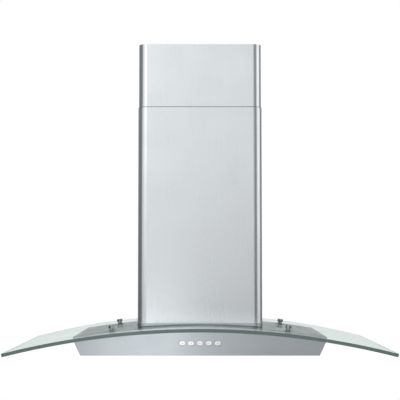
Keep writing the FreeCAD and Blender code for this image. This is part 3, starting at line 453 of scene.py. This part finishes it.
def clip_line(origin, direction, low, high):
    """Range of t for which origin + t * direction is inside the rectangle, or None."""
    first, last = -LINE_REACH, LINE_REACH
    for axis in (0, 1):
        a = (low[axis] - origin[axis]) / direction[axis]
        b = (high[axis] - origin[axis]) / direction[axis]
        first = max(first, min(a, b))
        last = min(last, max(a, b))
    return (first, last) if last - first > SHORTEST_STRAND else None


def add_filter_mesh(name):
    """Layers of expanded aluminium mesh in the frame of one grease filter."""
    low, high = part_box("filter_mesh_" + name)
    centre = (low + high) / 2
    reach = math.hypot(high.x - low.x, high.y - low.y) / 2
    vertices = []
    faces = []
    for layer in range(MESH_LAYERS):
        z = low.z + (high.z - low.z) * (layer + 0.5) / MESH_LAYERS
        shift = layer * LAYER_SHIFT * MESH_PITCH
        for lean in (-MESH_ANGLE, MESH_ANGLE):
            along = Vector((math.cos(math.radians(lean)), math.sin(math.radians(lean))))
            across = along.orthogonal()
            count = int(reach / MESH_PITCH)
            for number in range(-count, count + 1):
                origin = centre.xy + across * (number * MESH_PITCH + shift)
                span = clip_line(origin, along, low, high)
                if span is None:
                    continue
                base = len(vertices)
                for end in span:
                    for side in (-1, 1):
                        for up in (-1, 1):
                            point = origin + along * end + across * side * STRAND[0]
                            vertices.append((point.x, point.y, z + up * STRAND[1]))
                faces += [tuple(base + i for i in face) for face in BAR_FACES]
    piece = make_piece("expanded_mesh_" + name, vertices, faces, "filter_mesh", "filter_" + name)
    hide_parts("filter_mesh_" + name)


ARRIS = 0.9 * MM
SHARP_EDGE = 50                # degrees; edges that turn less stay as they are


def bevel_glass():
    """Arrissed edges on the canopy."""
    bevel = nodes["glass_canopy"].modifiers.new("arris", "BEVEL")
    bevel.width = ARRIS
    bevel.segments = 1
    bevel.limit_method = "ANGLE"
    bevel.angle_limit = math.radians(SHARP_EDGE)


# ---------------------------------------------------------------- stage
FLOOR_DROP = 2.44              # floor below the ceiling
FLOOR_RADIUS = 9.0
FLOOR_FADE = 5.0               # radius where the floor starts to fade out
FLOOR_CLEAR = 0.5              # width of the clear rim outside the fade
FLOOR_SEGMENTS = 96


def make_floor():
    """Pale disc that fades out far away and can't be seen from below."""
    mesh = bpy.data.meshes.new("floor")
    build = bmesh.new()
    bmesh.ops.create_circle(build, cap_ends=True, segments=FLOOR_SEGMENTS, radius=FLOOR_RADIUS)
    build.to_mesh(mesh)
    build.free()
    floor = bpy.data.objects.new("floor", mesh)
    floor.location = (0, 0, -FLOOR_DROP)
    scene.collection.objects.link(floor)
    shade = Shade("floor", Roughness=0.9)
    cloud = shade.noise(FLOOR_CLOUDS, 3.0)
    shade.link(shade.between(shade.spread(cloud, 0, 1), (0.84, 0.84, 0.84), (0.88, 0.88, 0.88)),
               "Base Color")
    coords = shade.node("TexCoord")
    reach = shade.tree.nodes.new("ShaderNodeVectorMath")
    reach.operation = "LENGTH"
    shade.feed(reach.inputs[0], coords.outputs["Object"])
    fade = shade.spread(reach.outputs["Value"], 1, 0, FLOOR_FADE, FLOOR_RADIUS - FLOOR_CLEAR)
    below = shade.node("NewGeometry").outputs["Backfacing"]
    shade.link(shade.math("MULTIPLY", fade, shade.spread(below, 1.0, 0.0, 0.0, 1.0)), "Alpha")
    mesh.materials.append(shade.material)


# azimuth round the hood, in turns from straight in front towards the right, and brightness there
STUDIO = [
    (-0.50, 0.35), (-0.42, 0.35), (-0.34, 0.24), (-0.21, 0.22), (-0.15, 0.95), (-0.09, 1.12),
    (-0.025, 1.12), (0.03, 0.92), (0.06, 0.32), (0.12, 0.32), (0.16, 1.05), (0.22, 1.35),
    (0.265, 1.05), (0.30, 0.25), (0.40, 0.35), (0.50, 0.35),
]

# height of the direction (its Z) and brightness there, multiplied with the one above
RISE = [
    (-0.40, 0.25), (-0.16, 0.30), (-0.09, 0.42), (-0.045, 0.88), (0.0, 1.03), (0.07, 1.16),
    (0.22, 1.31), (0.45, 0.60),
]
BRIGHTEST = 1.5                # level of a ramp's full white
RAMP_MIDDLE = 0.5              # place on a ramp of turn 0 or height 0

# name, place, target, size, watts
LIGHTS = [
    ("top_softbox", (0.0, -0.6, 1.9), (0, 0, -0.6), (2.6, 1.8), 30),
    ("front_softbox", (-1.6, -4.2, 1.2), (0, 0, -0.5), (2.2, 2.2), 10),
    ("low_panel", (-0.212, -1.75, -1.00), (-0.212, -0.185, -0.85), (0.27, 0.5), 0.55),
]


def make_world():
    """White to the camera and through the glass; to every other ray, STUDIO times RISE."""
    world = bpy.data.worlds.new("studio")
    scene.world = world
    world.use_nodes = True
    tree = world.node_tree
    tree.nodes.clear()

    def node(kind, **attributes):
        made = tree.nodes.new("ShaderNode" + kind)
        for key, value in attributes.items():
            setattr(made, key, value)
        return made

    def ramp(levels, interpolation):
        """Grey ramp with the given places, counted from its middle, and levels."""
        made = node("ValToRGB")
        made.color_ramp.interpolation = interpolation
        elements = made.color_ramp.elements
        while len(elements) > 1:
            elements.remove(elements[-1])
        for index, (place, level) in enumerate(levels):
            element = elements[0] if index == 0 else elements.new(place + RAMP_MIDDLE)
            element.position = place + RAMP_MIDDLE
            value = level / BRIGHTEST
            element.color = (value, value, value, 1)
        return made

    coords = node("TexCoord")
    split = node("SeparateXYZ")
    tree.links.new(coords.outputs["Generated"], split.inputs[0])
    ahead = node("Math", operation="MULTIPLY")
    ahead.inputs[1].default_value = -1.0
    tree.links.new(split.outputs["Y"], ahead.inputs[0])
    turn = node("Math", operation="ARCTAN2")
    tree.links.new(split.outputs["X"], turn.inputs[0])
    tree.links.new(ahead.outputs[0], turn.inputs[1])
    place = node("MapRange")
    place.inputs["From Min"].default_value = -math.pi
    place.inputs["From Max"].default_value = math.pi
    tree.links.new(turn.outputs[0], place.inputs["Value"])
    panels = ramp(STUDIO, "EASE")
    tree.links.new(place.outputs["Result"], panels.inputs[0])
    rise = ramp(RISE, "LINEAR")
    lift = node("Math", operation="ADD")
    lift.inputs[1].default_value = RAMP_MIDDLE
    tree.links.new(split.outputs["Z"], lift.inputs[0])
    tree.links.new(lift.outputs[0], rise.inputs[0])
    level = node("Math", operation="MULTIPLY")
    tree.links.new(panels.outputs["Color"], level.inputs[0])
    tree.links.new(rise.outputs["Color"], level.inputs[1])
    scaled = node("Math", operation="MULTIPLY")
    scaled.inputs[1].default_value = BRIGHTEST ** 2
    tree.links.new(level.outputs[0], scaled.inputs[0])
    studio = node("Background")
    studio.inputs["Color"].default_value = (1.0, 1.0, 1.0, 1.0)
    tree.links.new(scaled.outputs[0], studio.inputs["Strength"])
    backdrop = node("Background")
    backdrop.inputs["Color"].default_value = (1.0, 1.0, 1.0, 1.0)
    backdrop.inputs["Strength"].default_value = 1.0
    paths = node("LightPath")
    seen = node("Math", operation="MAXIMUM")
    tree.links.new(paths.outputs["Is Camera Ray"], seen.inputs[0])
    tree.links.new(paths.outputs["Is Transmission Ray"], seen.inputs[1])
    mix = node("MixShader")
    tree.links.new(seen.outputs[0], mix.inputs[0])
    tree.links.new(studio.outputs[0], mix.inputs[1])
    tree.links.new(backdrop.outputs[0], mix.inputs[2])
    output = node("OutputWorld")
    tree.links.new(mix.outputs[0], output.inputs["Surface"])


def area_light(name, place, target, size, power):
    data = bpy.data.lights.new(name, "AREA")
    data.shape = "RECTANGLE"
    data.size, data.size_y = size
    data.energy = power
    light = bpy.data.objects.new(name, data)
    light.location = place
    aim = Vector(target) - Vector(place)
    light.rotation_euler = aim.to_track_quat("-Z", "Y").to_euler()
    scene.collection.objects.link(light)


make_camera()
make_world()
make_floor()
for light_values in LIGHTS:
    area_light(*light_values)
dress_cad_nodes()
add_seam_shade_strip()
add_foot_painted_shadow()
add_button_marks()
add_filter_mesh("left")
add_filter_mesh("right")
bevel_glass()
scene.view_settings.view_transform = "Standard"
